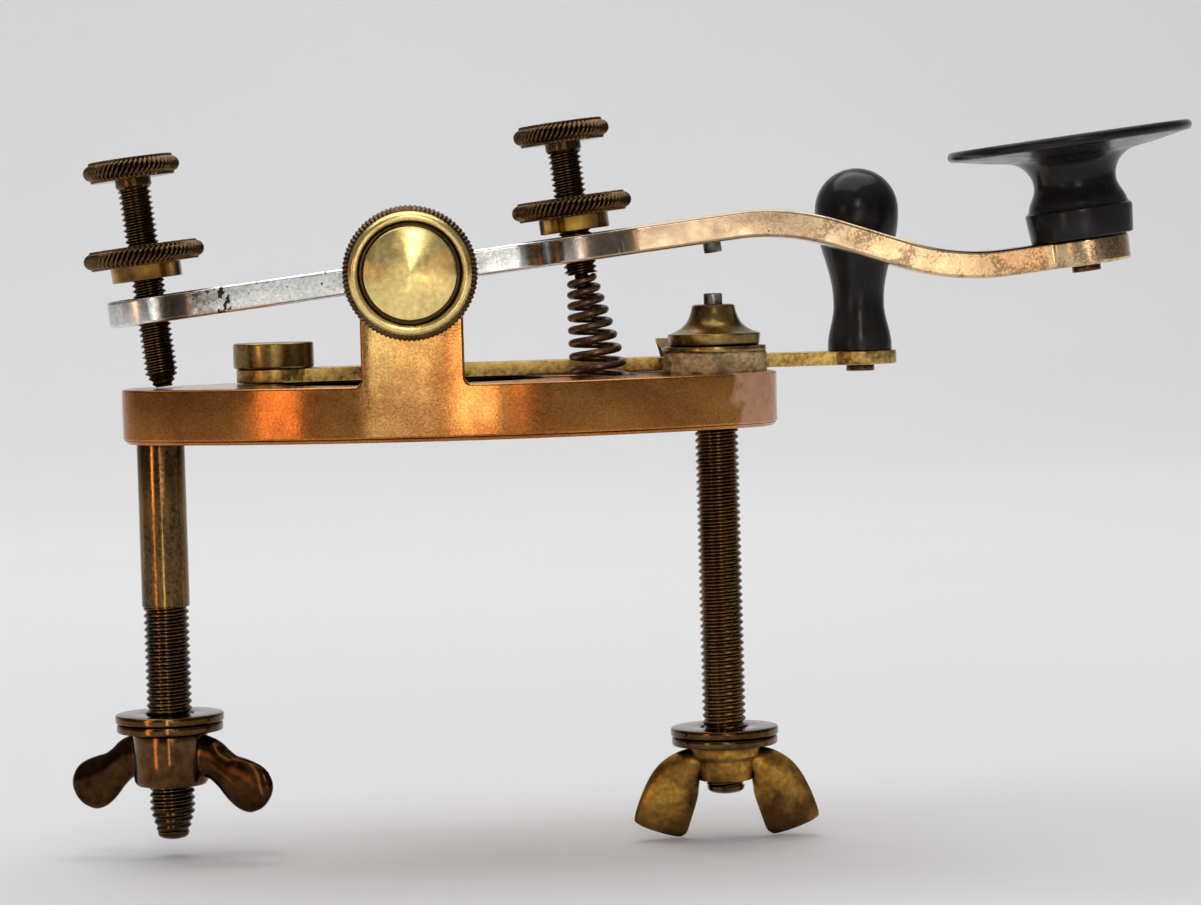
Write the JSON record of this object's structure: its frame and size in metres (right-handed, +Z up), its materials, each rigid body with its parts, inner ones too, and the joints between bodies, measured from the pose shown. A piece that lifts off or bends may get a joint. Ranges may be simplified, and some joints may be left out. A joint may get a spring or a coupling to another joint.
{
  "type": "telegraph key",
  "caption": "Leg-mounted hand telegraph key: oval brass frame, bent steel lever in trunnion screws, conical spring, insulated anvil and a circuit closer.",
  "frame": {"origin": "middle of the frame's underside, where it meets the table", "axes": "+X along the lever toward the finger knob, +Y toward the circuit closer's side, +Z up from the table"},
  "size_m": [0.1653, 0.0616, 0.105],
  "materials": {
    "frame_brass": "aged satin brass",
    "dark_brass": "dark tarnished brass",
    "gold_brass": "worn golden brass",
    "lever_steel": "pitted bright steel",
    "ebonite": "black hard rubber",
    "fibre": "grey vulcanised fibre",
    "spring_wire": "dark spring wire",
    "contact_metal": "dull contact metal"
  },
  "bodies": {
    "frame": {"base_frame": "frame_brass", "rear_leg": "dark_brass", "front_leg": "dark_brass", "insulating_bush": "fibre", "insulating_washer": "fibre", "contact_plate": "gold_brass", "anvil": "gold_brass", "lower_contact": "contact_metal", "closer_pivot_screw": "gold_brass", "lever_spring": "spring_wire"},
    "lever": {"lever": "lever_steel", "trunnion": "lever_steel", "upper_contact": "contact_metal", "key_knob": "ebonite", "knob_screw": "dark_brass"},
    "closer": {"closer_lever": "dark_brass", "closer_knob": "ebonite", "closer_knob_screw": "dark_brass"},
    "stop_nut": {"stop_lock_nut": "dark_brass"},
    "stop_screw": {"stop_screw": "dark_brass"},
    "spring_nut": {"spring_lock_nut": "dark_brass"},
    "spring_screw": {"spring_screw": "dark_brass"},
    "near_trunnion_nut": {"trunnion_lock_nut_near": "dark_brass"},
    "near_trunnion_screw": {"trunnion_screw_near": "gold_brass"},
    "far_trunnion_nut": {"trunnion_lock_nut_far": "dark_brass"},
    "far_trunnion_screw": {"trunnion_screw_far": "gold_brass"},
    "rear_washers": {"rear_washers": "dark_brass"},
    "rear_wing_nut": {"rear_wing_nut": "dark_brass"},
    "front_washers": {"front_washers": "dark_brass"},
    "front_wing_nut": {"front_wing_nut": "gold_brass"}
  },
  "joints": [
    {"name": "lever_rock", "type": "hinge", "parent": "frame", "child": "lever", "pos_m": [-0.0053, 0, 0.02355], "axis": [0, 1, 0], "range_deg": [0, 7.5], "stiffness_Nm_per_rad": 0.15, "springref_deg": -14.32, "deforming": ["lever_spring"]},
    {"name": "closer_swing", "type": "hinge", "parent": "frame", "child": "closer", "pos_m": [-0.0257, 0.01, 0.0079], "axis": [0, 0, 1], "range_deg": [-2.4, 4]},
    {"name": "stop_screw_travel", "type": "slide", "parent": "lever", "child": "stop_nut", "axis": [-0.1142, 0, 0.9935], "range_m": [0, 0.0024]},
    {"name": "stop_screw_turn", "type": "hinge", "parent": "stop_nut", "child": "stop_screw", "pos_m": [-0.04255, 0, 0.01927], "axis": [-0.1142, 0, 0.9935], "range_deg": [0, 1081]},
    {"name": "spring_screw_travel", "type": "slide", "parent": "lever", "child": "spring_nut", "axis": [-0.1142, 0, 0.9935], "range_m": [0, 0.0016]},
    {"name": "spring_screw_turn", "type": "hinge", "parent": "spring_nut", "child": "spring_screw", "pos_m": [0.01899, 0, 0.02634], "axis": [-0.1142, 0, 0.9935], "range_deg": [0, 721]},
    {"name": "near_trunnion_screw_travel", "type": "slide", "parent": "frame", "child": "near_trunnion_nut", "axis": [0, -1, 0], "range_m": [0, 0.0016]},
    {"name": "near_trunnion_screw_turn", "type": "hinge", "parent": "near_trunnion_nut", "child": "near_trunnion_screw", "pos_m": [-0.0053, -0.02, 0.02355], "axis": [0, -1, 0], "range_deg": [0, 721]},
    {"name": "far_trunnion_screw_travel", "type": "slide", "parent": "frame", "child": "far_trunnion_nut", "axis": [0, 1, 0], "range_m": [0, 0.0016]},
    {"name": "far_trunnion_screw_turn", "type": "hinge", "parent": "far_trunnion_nut", "child": "far_trunnion_screw", "pos_m": [-0.0053, 0.02, 0.02355], "axis": [0, 1, 0], "range_deg": [0, 721]},
    {"name": "rear_wing_nut_travel", "type": "slide", "parent": "frame", "child": "rear_washers", "axis": [0, 0, 1], "range_m": [-0.003, 0.012]},
    {"name": "rear_wing_nut_turn", "type": "hinge", "parent": "rear_washers", "child": "rear_wing_nut", "pos_m": [-0.042, 0, -0.0391], "axis": [0, 0, 1], "range_deg": [-1081, 4321]},
    {"name": "front_wing_nut_travel", "type": "slide", "parent": "frame", "child": "front_washers", "axis": [0, 0, 1], "range_m": [-0.001, 0.02]},
    {"name": "front_wing_nut_turn", "type": "hinge", "parent": "front_washers", "child": "front_wing_nut", "pos_m": [0.0384, 0, -0.0437], "axis": [0, 0, 1], "range_deg": [-361, 7201]}
  ],
  "couplings": [
    {"joint": "stop_screw_turn", "follows": "stop_screw_travel", "rad_per_m": 7854},
    {"joint": "spring_screw_turn", "follows": "spring_screw_travel", "rad_per_m": 7854},
    {"joint": "near_trunnion_screw_turn", "follows": "near_trunnion_screw_travel", "rad_per_m": 7854},
    {"joint": "far_trunnion_screw_turn", "follows": "far_trunnion_screw_travel", "rad_per_m": 7854},
    {"joint": "rear_wing_nut_turn", "follows": "rear_wing_nut_travel", "rad_per_m": 6283.2},
    {"joint": "front_wing_nut_turn", "follows": "front_wing_nut_travel", "rad_per_m": 6283.2}
  ]
}
